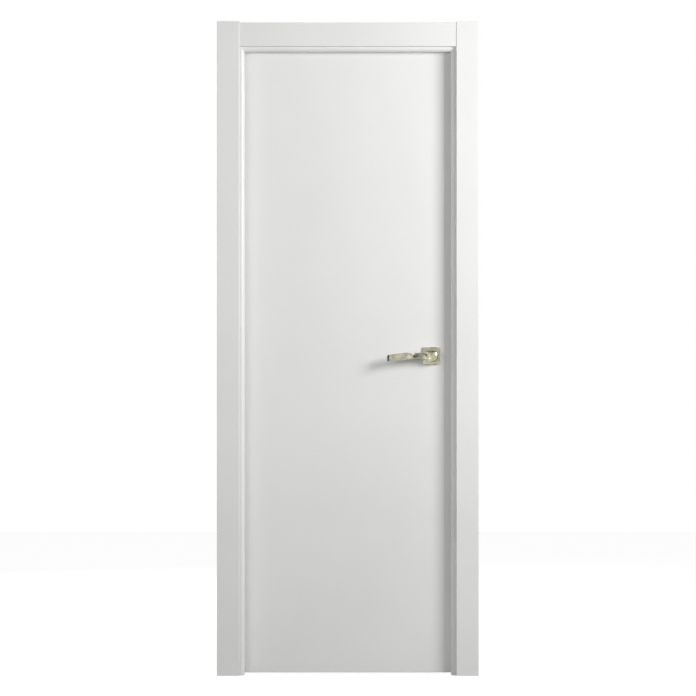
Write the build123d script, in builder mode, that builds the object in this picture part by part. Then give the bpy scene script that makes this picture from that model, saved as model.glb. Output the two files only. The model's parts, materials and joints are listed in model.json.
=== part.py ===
from build123d import *
import math
import os

os.makedirs("parts", exist_ok=True)

# Interior door set: a plain flush leaf in a lined opening with flat casings and a twisted lever handle.
# X runs from the hinge side to the lock side, -Y faces the viewer, Z is up from the finished floor.
# The origin is on the outer face of the hinge jamb, at mid depth and floor level.

# Leaf
leaf_width = 700.0
leaf_height = 2030.0
leaf_thick = 35.0
skin_thick = 3.0
stile_width = 35.0
rail_height = 45.0
edge_bevel = 1.5  # the lock edge leans back by this much from the back face to the front face
leaf_arris = 1.0

# Gaps round the leaf
floor_gap = 6.0
edge_gap = 5.0
seat_gap = 5.0  # from the stop to the leaf, filled by the seal
seal_gap = 1.5  # from the seal to the leaf

# Lining
jamb_thick = 25.0
leaf_recess = 35.0  # from the front edge of the lining to the front face of the leaf
stop_cover = 15.0  # how far the stops overlap the edge of the leaf
stop_round = 13.0  # rounding of the stops' front edge

# Seal in the stops
seal_width = 8.0
seal_stem_width = 3.0
seal_stem_depth = 5.0
seal_inset = 6.5  # from the inner edge of the stop to the middle of the seal
seal_fit = 0.1

# Casing
casing_width = 72.0
casing_thick = 12.0
head_casing_height = 77.0
head_casing_thick = 10.0
casing_margin = 16.5  # strip of lining left showing inside the casing
casing_rise = 4.0  # side casings stand this much above the head casing
casing_arris = 1.5
back_margin = 6.5  # strip of lining left showing on the back, clear of the hinge knuckles

# Hinges
hinge_height = 100.0
flap_thick = 2.5
flap_width = 38.0
knuckle_radius = 6.0
knuckle_gap = 0.4
flap_relief = 0.6  # from a flap to the other flap's knuckle
pin_radius = 3.0
pin_fit = 0.1
pin_cap_radius = 5.0
pin_cap_height = 2.5
hinge_stand_off = 7.0  # from the back face of the leaf to the hinge axis
hinge_inset = 150.0  # from the top of the leaf to the top of the upper hinge
hinge_lift = 200.0  # from the bottom of the leaf to the bottom of the lower hinge

# Handle
handle_height = 1036.0
backset = 78.0
rose_size = 55.0
rose_thick = 7.0
rose_corner = 1.5
rose_arris = 1.0
collar_radius = 28.5  # a little wider than the plate under it
collar_height = 6.0
collar_arris = 2.0
neck_radius = 9.0
neck_fit = 0.1
neck_inset = 2.0  # how far the neck reaches into the leaf
nose_gap = 0.5
nose_radius = 23.0
nose_depth = 18.0
nose_bevel = 7.0
nose_ease = 2.0  # softens both edges of the bevel
nose_flat = 8.5  # height of the front edge of the flat on top of the nose
nose_rise = 8.0  # how much higher the flat is beside the collar
root_depth = 16.0
root_height = 26.0
root_edge = 5.0
root_drop = 5.0  # from the handle's axis down to the middle of the bar inside the nose
bar_side = 17.0
bar_tip_side = 16.0
bar_edge = 1.2
bar_length = 144.0  # from the handle's axis to the tip
bar_start = 46.0  # where the root has narrowed to the bar
bar_lean = 11.0  # degrees away from the leaf
bar_drop = 1.0  # from the handle's axis down to the middle of the bar where it starts
bar_droop = 7.0  # further drop at the tip
bar_root_turn = 14.0  # degrees
bar_twist = -76.0  # degrees from the root to the tip
twist_start = 52.0
twist_length = 58.0
root_sections = 4
twist_sections = 8
spindle_side = 8.0
spindle_grip = 16.0  # length of spindle held in each neck
spindle_fit = 0.1
bore_radius = 12.0

# Latch
latch_radius = 11.0
latch_fit = 0.2
latch_tail = 14.0  # how far the latch case runs past the handle's axis
follower_radius = 6.3
plate_height = 57.0
plate_width = 25.0
plate_thick = 2.5
bolt_height = 16.0
bolt_width = 12.0
bolt_fit = 0.3
bolt_length = 20.0
bolt_slope = 9.0

# Strike
strike_height = 70.0
strike_thick = 2.0
strike_width = 27.0
strike_room = 1.5  # round the bolt
strike_pocket = 12.0

# Places that follow from the sizes above
leaf_left = jamb_thick + edge_gap
leaf_right = leaf_left + leaf_width
leaf_top = floor_gap + leaf_height
lock_wall = leaf_right + edge_gap
frame_width = lock_wall + jamb_thick
head_soffit = leaf_top + edge_gap
jamb_depth = leaf_recess + leaf_thick
jamb_front = -jamb_depth / 2
leaf_front = jamb_front + leaf_recess
leaf_back = leaf_front + leaf_thick
leaf_middle = leaf_front + leaf_thick / 2
stop_back = leaf_front - seat_gap
stop_depth = stop_back - jamb_front
stop_width = edge_gap + stop_cover
stop_left = leaf_left + stop_cover
stop_right = leaf_right - stop_cover
stop_soffit = leaf_top - stop_cover
casing_left = stop_left - casing_margin
casing_soffit = stop_soffit + casing_margin
head_casing_top = casing_soffit + head_casing_height
side_casing_top = head_casing_top + casing_rise
back_casing_left = jamb_thick - back_margin
back_casing_soffit = head_soffit + back_margin
hinge_x = jamb_thick + edge_gap / 2
hinge_y = leaf_back + hinge_stand_off
handle_x = leaf_right - backset
hinge_low = floor_gap + hinge_lift + hinge_height / 2
hinge_high = leaf_top - hinge_inset - hinge_height / 2
hinge_places = {"top": hinge_high, "middle": (hinge_low + hinge_high) / 2, "bottom": hinge_low}
from_corner = (Align.MIN, Align.MIN, Align.MIN)


def save(piece, name):
    """Label a finished piece and write it to its own file."""
    piece.part.label = name
    export_step(piece.part, f"parts/{name}.step")


def lock_edge(y):
    """X of the bevelled lock edge of the leaf at a depth y."""
    return leaf_right - edge_bevel * (leaf_back - y) / leaf_thick


def flap_outline(x, z_middle):
    """Hinge flap or its mortise, in the plane across X."""
    with BuildSketch(Plane.YZ.offset(x)) as outline:
        with Locations((hinge_y, z_middle)):
            Rectangle(flap_width, hinge_height, align=(Align.MAX, Align.CENTER))
    return outline.sketch


# Lining: two jambs with the head resting on them
with BuildPart() as hinge_jamb:
    with Locations((0, jamb_front, 0)):
        Box(jamb_thick, jamb_depth, head_soffit, align=from_corner)
    for z_hinge in hinge_places.values():
        mortise = flap_outline(jamb_thick - flap_thick, z_hinge)
        extrude(mortise, amount=flap_thick, mode=Mode.SUBTRACT)
save(hinge_jamb, "hinge_jamb")

strike_hole_width = bolt_width + 2 * strike_room
strike_hole_height = bolt_height + 2 * strike_room
strike_middle = leaf_back - strike_width / 2

with BuildPart() as lock_jamb:
    with Locations((lock_wall, jamb_front, 0)):
        Box(jamb_thick, jamb_depth, head_soffit, align=from_corner)
    with BuildSketch(Plane.YZ.offset(lock_wall)):
        with Locations((strike_middle, handle_height)):
            Rectangle(strike_width, strike_height)
    extrude(amount=strike_thick, mode=Mode.SUBTRACT)
    with BuildSketch(Plane.YZ.offset(lock_wall + strike_thick)):
        with Locations((leaf_middle, handle_height)):
            Rectangle(strike_hole_width, strike_hole_height)
    extrude(amount=strike_pocket, mode=Mode.SUBTRACT)
save(lock_jamb, "lock_jamb")

with BuildPart() as head_jamb:
    with Locations((0, jamb_front, head_soffit)):
        Box(frame_width, jamb_depth, jamb_thick, align=from_corner)
save(head_jamb, "head_jamb")


# Stops planted on the lining, grooved for the seal and mitred at the head
mid_opening = Plane.YZ.offset(frame_width / 2)
hinge_mitre = Plane((stop_left, 0, stop_soffit), x_dir=(0, 1, 0), z_dir=(1, 0, 1))
lock_mitre = Plane((stop_right, 0, stop_soffit), x_dir=(0, 1, 0), z_dir=(-1, 0, 1))
up_the_side = Plane((jamb_thick, jamb_front, 0))
along_the_head = Plane((jamb_thick, jamb_front, head_soffit), x_dir=(0, 0, -1), z_dir=(1, 0, 0))


def other_hand(piece):
    """The piece for the lock side that matches one of the hinge side."""
    with BuildPart() as match:
        mirror(piece.part, about=mid_opening)
    return match


def stop_profile(plane):
    """Stop across its length: local X away from the lining, local Y towards the leaf."""
    with BuildSketch(plane) as profile:
        Rectangle(stop_width, stop_depth, align=(Align.MIN, Align.MIN))
        fillet(profile.vertices().sort_by(Axis.Y)[:2].sort_by(Axis.X)[-1], radius=stop_round)
        with Locations((stop_width - seal_inset, stop_depth)):
            Rectangle(
                seal_stem_width + 2 * seal_fit,
                seal_stem_depth,
                align=(Align.CENTER, Align.MAX),
                mode=Mode.SUBTRACT,
            )
    return profile.sketch


with BuildPart() as hinge_stop:
    extrude(stop_profile(up_the_side), amount=head_soffit)
    split(bisect_by=hinge_mitre, keep=Keep.BOTTOM)
save(hinge_stop, "hinge_stop")
save(other_hand(hinge_stop), "lock_stop")

with BuildPart() as head_stop:
    extrude(stop_profile(along_the_head), amount=lock_wall - jamb_thick)
    split(bisect_by=hinge_mitre, keep=Keep.TOP)
    split(bisect_by=lock_mitre, keep=Keep.TOP)
save(head_stop, "head_stop")


# Seals: a stem in the groove and a round bead towards the leaf
def seal_profile(plane):
    """Seal across its length, on the same plane as its stop."""
    bead = seat_gap - seal_gap
    middle = stop_width - seal_inset
    with BuildSketch(plane) as profile:
        with BuildLine():
            ThreePointArc(
                (middle - seal_width / 2, stop_depth),
                (middle, stop_depth + bead),
                (middle + seal_width / 2, stop_depth),
            )
            Line((middle + seal_width / 2, stop_depth), (middle - seal_width / 2, stop_depth))
        make_face()
        with Locations((middle, stop_depth)):
            Rectangle(seal_stem_width, seal_stem_depth - seal_fit, align=(Align.CENTER, Align.MAX))
    return profile.sketch


with BuildPart() as hinge_side_seal:
    extrude(seal_profile(up_the_side), amount=head_soffit)
    split(bisect_by=hinge_mitre, keep=Keep.BOTTOM)
save(hinge_side_seal, "hinge_side_seal")
save(other_hand(hinge_side_seal), "lock_side_seal")

with BuildPart() as head_seal:
    extrude(seal_profile(along_the_head), amount=lock_wall - jamb_thick)
    split(bisect_by=hinge_mitre, keep=Keep.TOP)
    split(bisect_by=lock_mitre, keep=Keep.TOP)
save(head_seal, "head_seal")


# Casings: sides full height, head between them and slightly thinner
def casing_board(x_low, x_high, z_low, z_high, y_wall, y_outer, along):
    """Flat board with its long outer edges rounded."""
    with BuildPart() as board:
        with Locations(((x_low + x_high) / 2, (y_wall + y_outer) / 2, (z_low + z_high) / 2)):
            Box(x_high - x_low, abs(y_outer - y_wall), z_high - z_low)
        outer = 0 if y_outer < y_wall else -1
        fillet(board.edges().filter_by(along).group_by(Axis.Y)[outer], radius=casing_arris)
    return board


def casing_set(side, x_inner, z_inner, y_wall, outwards):
    """Both side casings and the head casing on one face of the wall; outwards is -1 or 1 along Y."""
    y_side = y_wall + outwards * casing_thick
    y_head = y_wall + outwards * head_casing_thick
    left = casing_board(casing_left - casing_width, x_inner, 0, side_casing_top, y_wall, y_side, Axis.Z)
    x_far = frame_width - x_inner
    head = casing_board(x_inner, x_far, z_inner, head_casing_top, y_wall, y_head, Axis.X)
    save(left, f"{side}_casing_left")
    save(other_hand(left), f"{side}_casing_right")
    save(head, f"{side}_casing_head")


casing_set("front", casing_left, casing_soffit, jamb_front, -1)
casing_set("back", back_casing_left, back_casing_soffit, leaf_back, 1)

# Strike plate let into the lock jamb
with BuildPart() as strike_plate:
    with BuildSketch(Plane.YZ.offset(lock_wall)):
        with Locations((strike_middle, handle_height)):
            Rectangle(strike_width, strike_height)
        with Locations((leaf_middle, handle_height)):
            Rectangle(strike_hole_width, strike_hole_height, mode=Mode.SUBTRACT)
    extrude(amount=strike_thick)
save(strike_plate, "strike_plate")


# Hinges: two knuckles on the frame's flap, one between them on the leaf's flap
knuckle_length = (hinge_height - 2 * knuckle_gap) / 3
knuckle_step = knuckle_length + knuckle_gap


def hinge_half(x_flap, z_middle, own_steps, other_steps):
    """One flap with its own knuckles, cut back beside the knuckles of the other flap."""
    with BuildPart() as half:
        extrude(flap_outline(x_flap, z_middle), amount=flap_thick)
        for step in other_steps:
            with Locations((hinge_x, hinge_y, z_middle + step * knuckle_step)):
                cut_height = knuckle_length + 2 * knuckle_gap
                Cylinder(knuckle_radius + flap_relief, cut_height, mode=Mode.SUBTRACT)
        for step in own_steps:
            with Locations((hinge_x, hinge_y, z_middle + step * knuckle_step)):
                Cylinder(knuckle_radius, knuckle_length)
        with Locations((hinge_x, hinge_y, z_middle)):
            Cylinder(pin_radius + pin_fit, hinge_height, mode=Mode.SUBTRACT)
    return half


def hinge_pin(z_middle):
    with BuildPart() as pin:
        with Locations((hinge_x, hinge_y, z_middle)):
            Cylinder(pin_radius, hinge_height)
        for end in (-1, 1):
            with Locations((hinge_x, hinge_y, z_middle + end * (hinge_height + pin_cap_height) / 2)):
                Cylinder(pin_cap_radius, pin_cap_height)
    return pin


for place, z_hinge in hinge_places.items():
    save(hinge_half(jamb_thick - flap_thick, z_hinge, (-1, 1), (0,)), f"frame_hinge_flap_{place}")
    save(hinge_half(leaf_left, z_hinge, (0,), (-1, 1)), f"leaf_hinge_flap_{place}")
    save(hinge_pin(z_hinge), f"hinge_pin_{place}")


# Leaf: two skins over stiles, rails and a core
def leaf_slab(x_low, x_high, y_low, y_high, z_low, z_high):
    """Slab of the leaf between two depths; x_high of None ends it at the bevelled lock edge."""
    end_low = lock_edge(y_low) if x_high is None else x_high
    end_high = lock_edge(y_high) if x_high is None else x_high
    with BuildSketch(Plane.XY.offset(z_low)) as section:
        with BuildLine():
            Polyline((x_low, y_low), (end_low, y_low), (end_high, y_high), (x_low, y_high), close=True)
        make_face()
    return extrude(section.sketch, amount=z_high - z_low, mode=Mode.PRIVATE)


core_front = leaf_front + skin_thick
core_back = leaf_back - skin_thick
core_left = leaf_left + stile_width
core_right = leaf_right - stile_width
core_low = floor_gap + rail_height
core_high = leaf_top - rail_height
handle_axis = Plane((handle_x, leaf_front, handle_height), x_dir=(1, 0, 0), z_dir=(0, 1, 0))
latch_axis = Plane((handle_x - latch_tail, leaf_middle, handle_height), x_dir=(0, 0, 1), z_dir=(1, 0, 0))
edge_middle = lock_edge(leaf_middle)
lock_face = Plane(
    (edge_middle, leaf_middle, handle_height), x_dir=(0, 0, 1), z_dir=(leaf_thick, -edge_bevel, 0)
)

with BuildPart() as leaf_front_skin:
    add(leaf_slab(leaf_left, None, leaf_front, core_front, floor_gap, leaf_top))
    chamfer(leaf_front_skin.faces().sort_by(Axis.Y)[0].edges(), length=leaf_arris)
    with BuildSketch(handle_axis):
        Circle(bore_radius)
    extrude(amount=skin_thick, mode=Mode.SUBTRACT)
save(leaf_front_skin, "leaf_front_skin")

with BuildPart() as leaf_back_skin:
    add(leaf_slab(leaf_left, None, core_back, leaf_back, floor_gap, leaf_top))
    chamfer(leaf_back_skin.faces().sort_by(Axis.Y)[-1].edges(), length=leaf_arris)
    with BuildSketch(handle_axis.offset(leaf_thick - skin_thick)):
        Circle(bore_radius)
    extrude(amount=skin_thick, mode=Mode.SUBTRACT)
    for z_hinge in hinge_places.values():
        extrude(flap_outline(leaf_left, z_hinge), amount=flap_thick, mode=Mode.SUBTRACT)
save(leaf_back_skin, "leaf_back_skin")

with BuildPart() as hinge_stile:
    add(leaf_slab(leaf_left, core_left, core_front, core_back, floor_gap, leaf_top))
    for z_hinge in hinge_places.values():
        extrude(flap_outline(leaf_left, z_hinge), amount=flap_thick, mode=Mode.SUBTRACT)
save(hinge_stile, "hinge_stile")

with BuildPart() as lock_stile:
    add(leaf_slab(core_right, None, core_front, core_back, floor_gap, leaf_top))
    with BuildSketch(lock_face):
        Rectangle(plate_height, plate_width)
    extrude(amount=-plate_thick, mode=Mode.SUBTRACT)
    with BuildSketch(latch_axis):
        Circle(latch_radius + latch_fit)
    extrude(amount=backset + latch_tail, mode=Mode.SUBTRACT)
save(lock_stile, "lock_stile")

with BuildPart() as leaf_core:
    add(leaf_slab(core_left, core_right, core_front, core_back, core_low, core_high))
    with BuildSketch(latch_axis):
        Circle(latch_radius + latch_fit)
    extrude(amount=backset + latch_tail, mode=Mode.SUBTRACT)
    with BuildSketch(handle_axis):
        Circle(bore_radius)
    extrude(amount=leaf_thick, mode=Mode.SUBTRACT)
save(leaf_core, "leaf_core")

for name, z_low in (("top_rail", core_high), ("bottom_rail", floor_gap)):
    with BuildPart() as rail:
        add(leaf_slab(core_left, core_right, core_front, core_back, z_low, z_low + rail_height))
    save(rail, name)

# Latch: case in the leaf, faceplate on the bevelled edge, bolt drawn in flush with it
with BuildPart() as latch_faceplate:
    with BuildSketch(lock_face):
        Rectangle(plate_height, plate_width)
        Rectangle(bolt_height + 2 * bolt_fit, bolt_width + 2 * bolt_fit, mode=Mode.SUBTRACT)
    extrude(amount=-plate_thick)
save(latch_faceplate, "latch_faceplate")

case_end = edge_middle - plate_thick - edge_bevel
bolt_back = case_end - bolt_length

with BuildPart() as latch_case:
    with BuildSketch(latch_axis):
        Circle(latch_radius)
    extrude(amount=case_end - (handle_x - latch_tail))
    with BuildSketch(handle_axis):
        Circle(follower_radius)
    extrude(amount=leaf_thick, mode=Mode.SUBTRACT)
    with Locations((bolt_back, leaf_middle, handle_height)):
        Box(
            bolt_length,
            bolt_width + 2 * bolt_fit,
            bolt_height + 2 * bolt_fit,
            align=(Align.MIN, Align.CENTER, Align.CENTER),
            mode=Mode.SUBTRACT,
        )
save(latch_case, "latch_case")

bolt_front = leaf_middle - bolt_width / 2
bolt_rear = leaf_middle + bolt_width / 2
bolt_tip = edge_middle

with BuildPart() as latch_bolt:
    with BuildSketch(Plane.XY.offset(handle_height - bolt_height / 2)):
        with BuildLine():
            Polyline(
                (bolt_back + bolt_fit, bolt_front),
                (bolt_tip - bolt_slope, bolt_front),
                (bolt_tip, bolt_rear),
                (bolt_back + bolt_fit, bolt_rear),
                close=True,
            )
        make_face()
    extrude(amount=bolt_height)
save(latch_bolt, "latch_bolt")

# Roses: square plate with a round collar, one on each face of the leaf
rose_plane = Plane((handle_x, leaf_front, handle_height), x_dir=(1, 0, 0), z_dir=(0, -1, 0))
mid_leaf = Plane((handle_x, leaf_middle, handle_height), x_dir=(1, 0, 0), z_dir=(0, -1, 0))

with BuildPart() as front_rose:
    with BuildSketch(rose_plane) as rose_plate:
        Rectangle(rose_size, rose_size)
        chamfer(rose_plate.vertices(), length=rose_corner)
    extrude(amount=rose_thick)
    chamfer(front_rose.faces().sort_by(Axis.Y)[0].edges(), length=rose_arris)
    with BuildSketch(rose_plane.offset(rose_thick)):
        Circle(collar_radius)
    extrude(amount=collar_height)
    chamfer(front_rose.faces().sort_by(Axis.Y)[0].edges(), length=collar_arris)
    with BuildSketch(rose_plane):
        Circle(neck_radius + neck_fit)
    extrude(amount=rose_thick + collar_height, mode=Mode.SUBTRACT)
save(front_rose, "front_rose")

with BuildPart() as back_rose:
    mirror(front_rose.part, about=mid_leaf)
save(back_rose, "back_rose")

# Lever: neck, rounded nose with a sloping flat on top, and a square bar that leans out and
# takes a quarter twist on its way to the tip
nose_base = rose_thick + collar_height + nose_gap
nose_face = nose_base + nose_depth
lean = math.radians(bar_lean)
bar_out = nose_base + nose_depth / 2  # distance of the bar's middle from the leaf at the axis
bar_reach = bar_length / math.cos(lean)
along_bar = (-math.cos(lean), -math.sin(lean), 0)
across_bar = (math.sin(lean), -math.cos(lean), 0)


def lever_section(distance, width, height, edge, drop, turn):
    """Section across the lever at a distance from the handle's axis."""
    middle = (
        handle_x + along_bar[0] * distance,
        leaf_front - bar_out + along_bar[1] * distance,
        handle_height - drop,
    )
    with BuildSketch(Plane(middle, x_dir=across_bar, z_dir=along_bar)) as section:
        Rectangle(width, height, rotation=turn)
        chamfer(section.vertices(), length=edge)
    return section.sketch


def blend(share, start, end):
    return start + (end - start) * share


def root_section(share):
    """Section from the middle of the nose to where the bar starts, narrowing fast and then slowly."""
    settle = math.sin(math.pi / 2 * share)
    return lever_section(
        bar_start * share,
        blend(settle, root_depth, bar_side),
        blend(settle, root_height, bar_side),
        blend(settle, root_edge, bar_edge),
        blend(settle, root_drop, bar_drop),
        blend(settle, 0, bar_root_turn),
    )


def bar_section(distance):
    """Section of the bar, which turns only between the start and the end of its twist."""
    share = (distance - bar_start) / (bar_reach - bar_start)
    twist_share = min(max((distance - twist_start) / twist_length, 0), 1)
    side = blend(share, bar_side, bar_tip_side)
    turn = bar_root_turn + bar_twist * (1 - math.cos(math.pi * twist_share)) / 2
    return lever_section(distance, side, side, bar_edge, bar_drop + bar_droop * share**3, turn)


twist_step = twist_length / twist_sections
twist_stations = [twist_start + step * twist_step for step in range(twist_sections + 1)]
lever_sections = [root_section(step / root_sections) for step in range(root_sections)]
lever_sections += [bar_section(distance) for distance in [bar_start, *twist_stations]]
tip_sections = [bar_section(twist_stations[-1]), bar_section(bar_reach)]

with BuildPart() as front_lever:
    with BuildSketch(rose_plane.offset(-neck_inset)):
        Circle(neck_radius)
    extrude(amount=neck_inset + nose_base)
    with BuildSketch(rose_plane.offset(nose_base)):
        Circle(nose_radius)
    extrude(amount=nose_depth)
    chamfer(front_lever.edges().filter_by(GeomType.CIRCLE).sort_by(Axis.Y)[0], length=nose_bevel)
    chamfer(front_lever.edges().filter_by(GeomType.CIRCLE).sort_by(Axis.Y)[:2], length=nose_ease)
    with BuildSketch(Plane.YZ.offset(handle_x)):
        with BuildLine():
            Polyline(
                (leaf_front - nose_base, handle_height + nose_flat + nose_rise),
                (leaf_front - nose_face, handle_height + nose_flat),
                (leaf_front - nose_face, handle_height + nose_radius),
                (leaf_front - nose_base, handle_height + nose_radius),
                close=True,
            )
        make_face()
    extrude(amount=nose_radius, both=True, mode=Mode.SUBTRACT)
    loft(lever_sections)
    loft(tip_sections, ruled=True)
    with BuildSketch(rose_plane.offset(-neck_inset)):
        Rectangle(spindle_side + 2 * spindle_fit, spindle_side + 2 * spindle_fit)
    extrude(amount=spindle_grip + spindle_fit, mode=Mode.SUBTRACT)
save(front_lever, "front_lever")

with BuildPart() as back_lever:
    mirror(front_lever.part, about=mid_leaf)
save(back_lever, "back_lever")

spindle_length = leaf_thick + 2 * (spindle_grip - neck_inset)

with BuildPart() as spindle:
    with Locations((handle_x, leaf_middle, handle_height)):
        Box(spindle_side, spindle_length, spindle_side)
save(spindle, "spindle")
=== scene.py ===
import json
import math
import bpy
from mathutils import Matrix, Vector


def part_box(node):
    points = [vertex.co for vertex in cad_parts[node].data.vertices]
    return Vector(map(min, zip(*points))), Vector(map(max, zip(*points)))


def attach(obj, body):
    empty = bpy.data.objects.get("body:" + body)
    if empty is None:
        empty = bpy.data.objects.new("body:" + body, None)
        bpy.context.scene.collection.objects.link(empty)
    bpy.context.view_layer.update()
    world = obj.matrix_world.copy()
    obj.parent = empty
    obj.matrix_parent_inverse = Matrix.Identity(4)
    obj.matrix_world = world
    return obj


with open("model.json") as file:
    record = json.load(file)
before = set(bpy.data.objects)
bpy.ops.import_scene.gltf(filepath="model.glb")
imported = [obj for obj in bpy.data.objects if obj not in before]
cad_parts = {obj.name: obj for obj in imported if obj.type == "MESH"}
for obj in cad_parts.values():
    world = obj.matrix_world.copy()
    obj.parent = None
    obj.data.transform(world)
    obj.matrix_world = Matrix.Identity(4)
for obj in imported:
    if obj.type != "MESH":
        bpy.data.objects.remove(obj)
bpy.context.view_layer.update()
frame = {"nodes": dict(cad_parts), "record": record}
print("frame loaded:", len(frame["nodes"]), "nodes")

# the picture: square on, a little over a metre up, with a long lens
shot = {
    "pixels": 696,
    "mmPerPixel": 3.2353,       # at the face of the casings
    "distance": 9.0,            # metres from that face
    "centreX": 0.3806,
    "centreZ": 1.0610,
    "sensor": 36.0,
    "clipEnd": 60,
}

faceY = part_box("front_casing_left")[0].y


def makeCamera():
    cam = bpy.data.objects.new("camera", bpy.data.cameras.new("camera"))
    bpy.context.scene.collection.objects.link(cam)
    seen = shot["pixels"] * shot["mmPerPixel"] / 1000
    cam.data.sensor_width = shot["sensor"]
    cam.data.lens = shot["sensor"] * shot["distance"] / seen
    cam.data.clip_end = shot["clipEnd"]
    cam.location = (shot["centreX"], faceY - shot["distance"], shot["centreZ"])
    cam.rotation_euler = (math.radians(90), 0, 0)
    bpy.context.scene.camera = cam


# studio: a soft key lamp on the right, a weak fill on the left and one for the far side, white all round
studio = {
    "key": {"place": (2.7, -1.8, 2.12), "aim": (0.3, 0.0, 1.25), "size": 1.15, "power": 84.0},
    "fill": {"place": (-2.6, -4.2, 1.8), "aim": (0.38, 0.0, 1.6), "size": 2.4, "power": 65.0},
    "back": {"place": (-0.9, 3.6, 2.3), "aim": (0.38, 0.0, 1.2), "size": 2.4, "power": 85.0},
    "worldLight": 0.31,
    "white": (1, 1, 1, 1),
    "floorColor": (0.16, 0.16, 0.16, 1),
    "floorGlow": 0.92,      # what the camera sees of the floor beside its own light
    "floorSize": 14.0,
    "card": {"across": (-8.0, 8.0), "tall": (3.5, 12.0), "behind": -10.5, "color": (0.30, 0.30, 0.30, 1)},
}


def makeLamp(name, lamp):
    data = bpy.data.lights.new(name, "AREA")
    data.shape = "SQUARE"
    data.size = lamp["size"]
    data.energy = lamp["power"]
    obj = bpy.data.objects.new(name, data)
    bpy.context.scene.collection.objects.link(obj)
    obj.location = lamp["place"]
    obj.rotation_euler = (Vector(lamp["aim"]) - Vector(lamp["place"])).to_track_quat("-Z", "Y").to_euler()


def cameraRays(nodes, links):
    path = nodes.new("ShaderNodeLightPath")
    first = nodes.new("ShaderNodeMath")
    first.operation = "MAXIMUM"
    second = nodes.new("ShaderNodeMath")
    second.operation = "MAXIMUM"
    links.new(path.outputs["Is Camera Ray"], first.inputs[0])
    links.new(path.outputs["Is Glossy Ray"], first.inputs[1])
    links.new(first.outputs[0], second.inputs[0])
    links.new(path.outputs["Is Transmission Ray"], second.inputs[1])
    return second.outputs[0]


def makeWorld():
    world = bpy.data.worlds.new("studioWorld")
    bpy.context.scene.world = world
    world.use_nodes = True
    nodes, links = world.node_tree.nodes, world.node_tree.links
    nodes.clear()
    out = nodes.new("ShaderNodeOutputWorld")
    mix = nodes.new("ShaderNodeMixShader")
    lit = nodes.new("ShaderNodeBackground")
    lit.inputs["Color"].default_value = studio["white"]
    lit.inputs["Strength"].default_value = studio["worldLight"]
    seen = nodes.new("ShaderNodeBackground")
    seen.inputs["Color"].default_value = studio["white"]
    seen.inputs["Strength"].default_value = 1.0
    links.new(cameraRays(nodes, links), mix.inputs[0])
    links.new(lit.outputs[0], mix.inputs[1])
    links.new(seen.outputs[0], mix.inputs[2])
    links.new(mix.outputs[0], out.inputs["Surface"])


def makeSheet(name, finish, corners):
    mesh = bpy.data.meshes.new(name)
    mesh.from_pydata(corners, [], [(0, 1, 2, 3)])
    sheet = bpy.data.objects.new(name, mesh)
    bpy.context.scene.collection.objects.link(sheet)
    mat = bpy.data.materials.new(finish)
    mat.use_nodes = True
    mesh.materials.append(mat)
    return sheet, mat


def makeFloor():
    half = studio["floorSize"] / 2
    corners = [(-half, -half, 0), (half, -half, 0), (half, half, 0), (-half, half, 0)]
    floor, mat = makeSheet("floor", "studioFloor", corners)
    nodes, links = mat.node_tree.nodes, mat.node_tree.links
    nodes.clear()
    out = nodes.new("ShaderNodeOutputMaterial")
    diffuse = nodes.new("ShaderNodeBsdfDiffuse")
    diffuse.inputs["Color"].default_value = studio["floorColor"]
    glow = nodes.new("ShaderNodeEmission")
    strength = nodes.new("ShaderNodeMath")
    strength.operation = "MULTIPLY"
    strength.inputs[1].default_value = studio["floorGlow"]
    links.new(cameraRays(nodes, links), strength.inputs[0])
    links.new(strength.outputs[0], glow.inputs["Strength"])
    both = nodes.new("ShaderNodeAddShader")
    links.new(diffuse.outputs[0], both.inputs[0])
    links.new(glow.outputs[0], both.inputs[1])
    links.new(both.outputs[0], out.inputs["Surface"])


# it stands high behind the camera, so that the brass has something dark to show
def makeCard():
    card = studio["card"]
    (left, right), (low, high), y = card["across"], card["tall"], card["behind"]
    corners = [(left, y, low), (right, y, low), (right, y, high), (left, y, high)]
    sheet, mat = makeSheet("greyCard", "greyCard", corners)
    shader = mat.node_tree.nodes["Principled BSDF"]
    shader.inputs["Base Color"].default_value = card["color"]
    shader.inputs["Roughness"].default_value = 1.0


bpy.context.scene.view_settings.view_transform = "Standard"
makeCamera()
makeLamp("keyLamp", studio["key"])
makeLamp("fillLamp", studio["fill"])
makeLamp("backLamp", studio["back"])
makeWorld()
makeFloor()
makeCard()
print("studio set up")


noiseSpan = (0.3, 0.7)      # nearly all of a noise lies between these


def newFinish(name):
    mat = bpy.data.materials.new(name)
    mat.use_nodes = True
    nodes, links = mat.node_tree.nodes, mat.node_tree.links
    shader = nodes["Principled BSDF"]
    place = nodes.new("ShaderNodeTexCoord").outputs["Object"]
    return mat, nodes, links, shader, place


def stretched(nodes, links, place, scale):
    mapping = nodes.new("ShaderNodeMapping")
    mapping.inputs["Scale"].default_value = scale
    links.new(place, mapping.inputs["Vector"])
    return mapping.outputs["Vector"]


def noise(nodes, links, vector, scale, detail, rough=0.5):
    tex = nodes.new("ShaderNodeTexNoise")
    tex.inputs["Scale"].default_value = scale
    tex.inputs["Detail"].default_value = detail
    tex.inputs["Roughness"].default_value = rough
    links.new(vector, tex.inputs["Vector"])
    return tex.outputs["Fac"]


def spread(nodes, links, value, low, high):
    span = nodes.new("ShaderNodeMapRange")
    span.inputs["From Min"].default_value = noiseSpan[0]
    span.inputs["From Max"].default_value = noiseSpan[1]
    span.inputs["To Min"].default_value = low
    span.inputs["To Max"].default_value = high
    links.new(value, span.inputs["Value"])
    return span.outputs["Result"]


def tint(nodes, links, value, dark, light):
    ramp = nodes.new("ShaderNodeValToRGB")
    for element, position, color in zip(ramp.color_ramp.elements, noiseSpan, (dark, light)):
        element.position = position
        element.color = (*color, 1)
    links.new(value, ramp.inputs["Fac"])
    return ramp.outputs["Color"]


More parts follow.
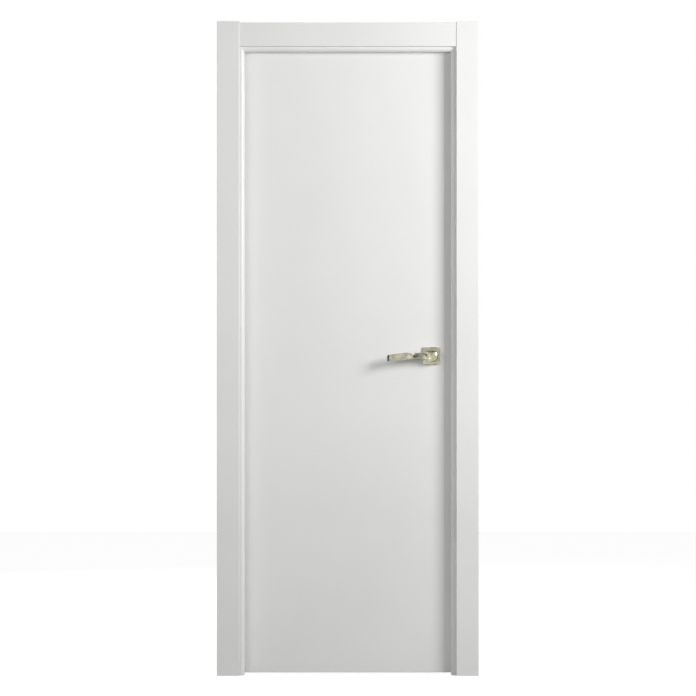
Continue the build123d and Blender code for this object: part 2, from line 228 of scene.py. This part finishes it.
def bump(nodes, links, shader, height, depth, before=None):
    node = nodes.new("ShaderNodeBump")
    node.inputs["Strength"].default_value = 1.0
    node.inputs["Distance"].default_value = depth
    links.new(height, node.inputs["Height"])
    if before is not None:
        links.new(before, node.inputs["Normal"])
    links.new(node.outputs["Normal"], shader.inputs["Normal"])
    return node.outputs["Normal"]


# a noise is given by its scale, its detail and, where it isn't 0.5, its roughness
lacquer = {
    "leafDark": (0.815, 0.818, 0.800), "leafLight": (0.845, 0.848, 0.832),
    "frameDark": (0.800, 0.802, 0.785), "frameLight": (0.835, 0.837, 0.822),
    "cloud": (3.0, 3), "sheen": (9.0, 4),
    "peel": (420.0, 2), "peelDepth": 0.00003,
    "wave": (14.0, 1), "waveDepth": 0.00012,
    "roughLow": 0.34, "roughHigh": 0.44,
    "coat": 0.12, "coatRough": 0.22,
}


def lacquerFinish(name, dark, light):
    mat, nodes, links, shader, place = newFinish(name)
    cloud = noise(nodes, links, place, *lacquer["cloud"])
    links.new(tint(nodes, links, cloud, dark, light), shader.inputs["Base Color"])
    sheen = noise(nodes, links, place, *lacquer["sheen"])
    rough = spread(nodes, links, sheen, lacquer["roughLow"], lacquer["roughHigh"])
    links.new(rough, shader.inputs["Roughness"])
    wave = noise(nodes, links, place, *lacquer["wave"])
    peel = noise(nodes, links, place, *lacquer["peel"])
    waved = bump(nodes, links, shader, wave, lacquer["waveDepth"])
    bump(nodes, links, shader, peel, lacquer["peelDepth"], waved)
    shader.inputs["Coat Weight"].default_value = lacquer["coat"]
    shader.inputs["Coat Roughness"].default_value = lacquer["coatRough"]
    return mat


brass = {
    "dark": (0.36, 0.345, 0.24), "light": (0.64, 0.62, 0.49),
    "cloud": (60.0, 3), "hair": (1.0, 3, 0.6),
    "brushed": (60, 700, 700), "brushDepth": 0.000012,
    "roughLow": 0.13, "roughHigh": 0.24,
    "blackTipColour": (0.012, 0.012, 0.012), "endX": 0.514,     # the levers' tips are coloured black, not metal, nearer the hinges than this
}


def brassFinish(name):
    mat, nodes, links, shader, place = newFinish(name)
    hair = noise(nodes, links, stretched(nodes, links, place, brass["brushed"]), *brass["hair"])
    cloud = noise(nodes, links, place, *brass["cloud"])
    metal = tint(nodes, links, cloud, brass["dark"], brass["light"])
    spot = nodes.new("ShaderNodeSeparateXYZ")
    links.new(place, spot.inputs[0])
    # below endX the lever's last stretch is coloured black and is not metal
    tipMask = nodes.new("ShaderNodeMath")
    tipMask.operation = "LESS_THAN"
    tipMask.inputs[1].default_value = brass["endX"]
    links.new(spot.outputs["X"], tipMask.inputs[0])
    both = nodes.new("ShaderNodeMix")
    both.data_type = "RGBA"         # its colours are inputs 6 and 7 and output 2
    links.new(tipMask.outputs[0], both.inputs[0])
    links.new(metal, both.inputs[6])
    both.inputs[7].default_value = (*brass["blackTipColour"], 1)
    links.new(both.outputs[2], shader.inputs["Base Color"])
    awayFromTip = nodes.new("ShaderNodeMath")
    awayFromTip.operation = "SUBTRACT"
    awayFromTip.inputs[0].default_value = 1.0
    links.new(tipMask.outputs[0], awayFromTip.inputs[1])
    links.new(awayFromTip.outputs[0], shader.inputs["Metallic"])
    links.new(spread(nodes, links, hair, brass["roughLow"], brass["roughHigh"]), shader.inputs["Roughness"])
    bump(nodes, links, shader, hair, brass["brushDepth"])
    return mat


steel = {
    "dark": (0.46, 0.455, 0.44), "light": (0.60, 0.595, 0.58),
    "hair": (1.0, 3, 0.6), "upright": (900, 900, 40), "level": (40, 900, 900),
    "roughLow": 0.26, "roughHigh": 0.42, "brushDepth": 0.00001,
    "latchShade": 0.85,     # the latch is darker than the hinges by this
}


def steelFinish(name, grain, shade=1.0):
    mat, nodes, links, shader, place = newFinish(name)
    hair = noise(nodes, links, stretched(nodes, links, place, grain), *steel["hair"])
    dark = [shade * part for part in steel["dark"]]
    light = [shade * part for part in steel["light"]]
    links.new(tint(nodes, links, hair, dark, light), shader.inputs["Base Color"])
    links.new(spread(nodes, links, hair, steel["roughLow"], steel["roughHigh"]), shader.inputs["Roughness"])
    bump(nodes, links, shader, hair, steel["brushDepth"])
    shader.inputs["Metallic"].default_value = 1.0
    return mat


rubber = {
    "dark": (0.60, 0.60, 0.585), "light": (0.68, 0.68, 0.66),
    "grain": (600.0, 3), "grainDepth": 0.00004,
    "roughLow": 0.62, "roughHigh": 0.8,
}


def rubberFinish(name):
    mat, nodes, links, shader, place = newFinish(name)
    grain = noise(nodes, links, place, *rubber["grain"])
    links.new(tint(nodes, links, grain, rubber["dark"], rubber["light"]), shader.inputs["Base Color"])
    rough = spread(nodes, links, grain, rubber["roughLow"], rubber["roughHigh"])
    links.new(rough, shader.inputs["Roughness"])
    bump(nodes, links, shader, grain, rubber["grainDepth"])
    return mat


board = {
    "dark": (0.34, 0.24, 0.15), "light": (0.52, 0.40, 0.27),
    "chips": (260.0, 4, 0.7), "pressed": (1, 1, 0.3), "chipDepth": 0.0003,
    "rough": 0.85,
}


def boardFinish(name):
    mat, nodes, links, shader, place = newFinish(name)
    chips = noise(nodes, links, stretched(nodes, links, place, board["pressed"]), *board["chips"])
    links.new(tint(nodes, links, chips, board["dark"], board["light"]), shader.inputs["Base Color"])
    shader.inputs["Roughness"].default_value = board["rough"]
    bump(nodes, links, shader, chips, board["chipDepth"])
    return mat


finishes = {
    "white_lacquer_leaf": lacquerFinish("leafLacquer", lacquer["leafDark"], lacquer["leafLight"]),
    "white_lacquer_frame": lacquerFinish("frameLacquer", lacquer["frameDark"], lacquer["frameLight"]),
    "satin_brass": brassFinish("satinBrass"),
    "satin_steel": steelFinish("hingeSteel", steel["upright"]),
    "latch_steel": steelFinish("latchSteel", steel["level"], steel["latchShade"]),
    "seal_rubber": rubberFinish("sealRubber"),
    "core_board": boardFinish("coreBoard"),
}

for part in frame["record"]["subparts"]:
    node = frame["nodes"][part["node"]]
    if not node.material_slots:
        node.data.materials.append(None)
    for socket in node.material_slots:
        socket.material = finishes[part["material_slot"]]
print("finishes laid on:", len(finishes))

# screws: countersunk, with a cross in the head
screw = {
    "radius": 0.0041, "rim": 0.0034, "rise": 0.0005,
    "crossLong": 0.0046, "crossWide": 0.0008, "crossDeep": 0.00035,
    "sink": 0.0012,         # how far the head goes on under the plate's face
    "sides": 32,
    "spin": math.pi,        # a cross stands at any turn up to this
    "seed": 7,
}


def screwTree():
    tree = bpy.data.node_groups.new("screwHeads", "GeometryNodeTree")
    face = tree.interface
    face.new_socket("Geometry", in_out="INPUT", socket_type="NodeSocketGeometry")
    for name in ("Radius", "Rim", "Rise", "Sink", "Cross Long", "Cross Wide", "Cross Deep", "Spin"):
        face.new_socket(name, in_out="INPUT", socket_type="NodeSocketFloat")
    face.new_socket("Facing", in_out="INPUT", socket_type="NodeSocketVector")
    face.new_socket("Finish", in_out="INPUT", socket_type="NodeSocketMaterial")
    face.new_socket("Geometry", in_out="OUTPUT", socket_type="NodeSocketGeometry")
    nodes, links = tree.nodes, tree.links
    given = nodes.new("NodeGroupInput")
    out = nodes.new("NodeGroupOutput")

    def maths(kind, first, second):
        node = nodes.new("ShaderNodeMath")
        node.operation = kind
        for socket, value in zip(node.inputs, (first, second)):
            if isinstance(value, (int, float)):
                socket.default_value = value
            else:
                links.new(value, socket)
        return node.outputs[0]

    def vector(x, y, z):
        node = nodes.new("ShaderNodeCombineXYZ")
        for socket, value in zip(node.inputs, (x, y, z)):
            if isinstance(value, (int, float)):
                socket.default_value = value
            else:
                links.new(value, socket)
        return node.outputs[0]

    def moved(shape, offset):
        node = nodes.new("GeometryNodeTransform")
        links.new(shape, node.inputs["Geometry"])
        links.new(offset, node.inputs["Translation"])
        return node.outputs[0]

    shank = nodes.new("GeometryNodeMeshCylinder")
    shank.inputs["Vertices"].default_value = screw["sides"]
    links.new(given.outputs["Radius"], shank.inputs["Radius"])
    links.new(given.outputs["Sink"], shank.inputs["Depth"])
    low = moved(shank.outputs["Mesh"], vector(0, 0, maths("MULTIPLY", given.outputs["Sink"], -0.5)))
    dome = nodes.new("GeometryNodeMeshCone")
    dome.inputs["Vertices"].default_value = screw["sides"]
    links.new(given.outputs["Rim"], dome.inputs["Radius Top"])
    links.new(given.outputs["Radius"], dome.inputs["Radius Bottom"])
    links.new(given.outputs["Rise"], dome.inputs["Depth"])
    cuts = []
    for long, wide in (("Cross Long", "Cross Wide"), ("Cross Wide", "Cross Long")):
        slot = nodes.new("GeometryNodeMeshCube")
        deep = maths("MULTIPLY", given.outputs["Cross Deep"], 2.0)
        links.new(vector(given.outputs[long], given.outputs[wide], deep), slot.inputs["Size"])
        cuts.append(moved(slot.outputs["Mesh"], vector(0, 0, given.outputs["Rise"])))
    carve = nodes.new("GeometryNodeMeshBoolean")
    carve.operation = "DIFFERENCE"
    links.new(dome.outputs["Mesh"], carve.inputs["Mesh 1"])
    for cut in cuts:
        links.new(cut, carve.inputs["Mesh 2"])
    head = nodes.new("GeometryNodeJoinGeometry")
    links.new(low, head.inputs[0])
    links.new(carve.outputs["Mesh"], head.inputs[0])
    turn = nodes.new("FunctionNodeRandomValue")
    turn.data_type = "FLOAT"
    turn.inputs["Seed"].default_value = screw["seed"]
    links.new(given.outputs["Spin"], turn.inputs[3])
    spin = nodes.new("FunctionNodeAxisAngleToRotation")
    spin.inputs["Axis"].default_value = (0, 0, 1)
    links.new(turn.outputs[1], spin.inputs["Angle"])
    aim = nodes.new("FunctionNodeAlignRotationToVector")
    aim.axis = "Z"
    links.new(given.outputs["Facing"], aim.inputs["Vector"])
    both = nodes.new("FunctionNodeRotateRotation")
    both.rotation_space = "LOCAL"
    links.new(aim.outputs[0], both.inputs[0])
    links.new(spin.outputs[0], both.inputs[1])
    place = nodes.new("GeometryNodeInstanceOnPoints")
    links.new(given.outputs["Geometry"], place.inputs["Points"])
    links.new(head.outputs[0], place.inputs["Instance"])
    links.new(both.outputs[0], place.inputs["Rotation"])
    real = nodes.new("GeometryNodeRealizeInstances")
    links.new(place.outputs[0], real.inputs[0])
    coat = nodes.new("GeometryNodeSetMaterial")
    links.new(real.outputs[0], coat.inputs["Geometry"])
    links.new(given.outputs["Finish"], coat.inputs["Material"])
    links.new(coat.outputs[0], out.inputs[0])
    return tree


heads = screwTree()
settings = {
    "Radius": screw["radius"], "Rim": screw["rim"], "Rise": screw["rise"], "Sink": screw["sink"],
    "Cross Long": screw["crossLong"], "Cross Wide": screw["crossWide"], "Cross Deep": screw["crossDeep"],
    "Spin": screw["spin"], "Finish": finishes["satin_steel"],
}


def screwSet(name, body, points, facing):
    seedMesh = bpy.data.meshes.new(name + "Places")
    seedMesh.from_pydata([tuple(point) for point in points], [], [])
    obj = bpy.data.objects.new(name, seedMesh)
    bpy.context.scene.collection.objects.link(obj)
    mod = obj.modifiers.new("screws", "NODES")
    mod.node_group = heads
    for item in heads.interface.items_tree:
        if item.in_out == "INPUT" and item.name in settings:
            mod[item.identifier] = settings[item.name]
        if item.in_out == "INPUT" and item.name == "Facing":
            mod[item.identifier] = facing
    bpy.context.view_layer.update()
    seen = obj.evaluated_get(bpy.context.evaluated_depsgraph_get())
    made = bpy.data.meshes.new_from_object(seen)
    obj.modifiers.remove(mod)
    obj.data = made
    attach(obj, body)


# four screws in a zigzag on each flap, seen when the leaf is open
flapScrews = {
    # in from the edge, and up from the middle
    "zigzag": [(0.010, -0.037), (0.022, -0.013), (0.022, 0.013), (0.010, 0.037)],
}
for where in ("top", "middle", "bottom"):
    for side, facing in (("frame", 1), ("leaf", -1)):
        flapLow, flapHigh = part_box(f"{side}_hinge_flap_{where}")
        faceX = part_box("hinge_jamb")[1].x if side == "frame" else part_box("hinge_stile")[0].x
        middleZ = (flapLow.z + flapHigh.z) / 2
        points = [Vector((faceX, flapLow.y + y, middleZ + z)) for y, z in flapScrews["zigzag"]]
        screwSet(f"{side}FlapScrews_{where}", side, points, (facing, 0, 0))
print("hinge screws in")

# two in the strike and two in the faceplate, which leans back with the leaf's edge
latchScrews = {
    "onStrike": (-0.027, 0.027), "onFaceplate": (-0.021, 0.021),      # below and above the middle
    "leafThick": 0.035, "leafBevel": 0.0015, "leafSkin": 0.003,       # for the edge's lean and place
}

strikeLow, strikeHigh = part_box("strike_plate")
midStrike = (strikeLow.z + strikeHigh.z) / 2
strikeY = (strikeLow.y + strikeHigh.y) / 2
points = [Vector((strikeLow.x, strikeY, midStrike + z)) for z in latchScrews["onStrike"]]
screwSet("strikeScrews", "frame", points, (-1, 0, 0))

plateLow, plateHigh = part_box("latch_faceplate")
thick, bevel = latchScrews["leafThick"], latchScrews["leafBevel"]
lean = Vector((thick, -bevel, 0)).normalized()
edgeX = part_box("lock_stile")[1].x - bevel / 2 + bevel * latchScrews["leafSkin"] / thick
points = [Vector((edgeX, (plateLow.y + plateHigh.y) / 2, midStrike + z)) for z in latchScrews["onFaceplate"]]
screwSet("faceplateScrews", "leaf", points, tuple(lean))
print("latch screws in")
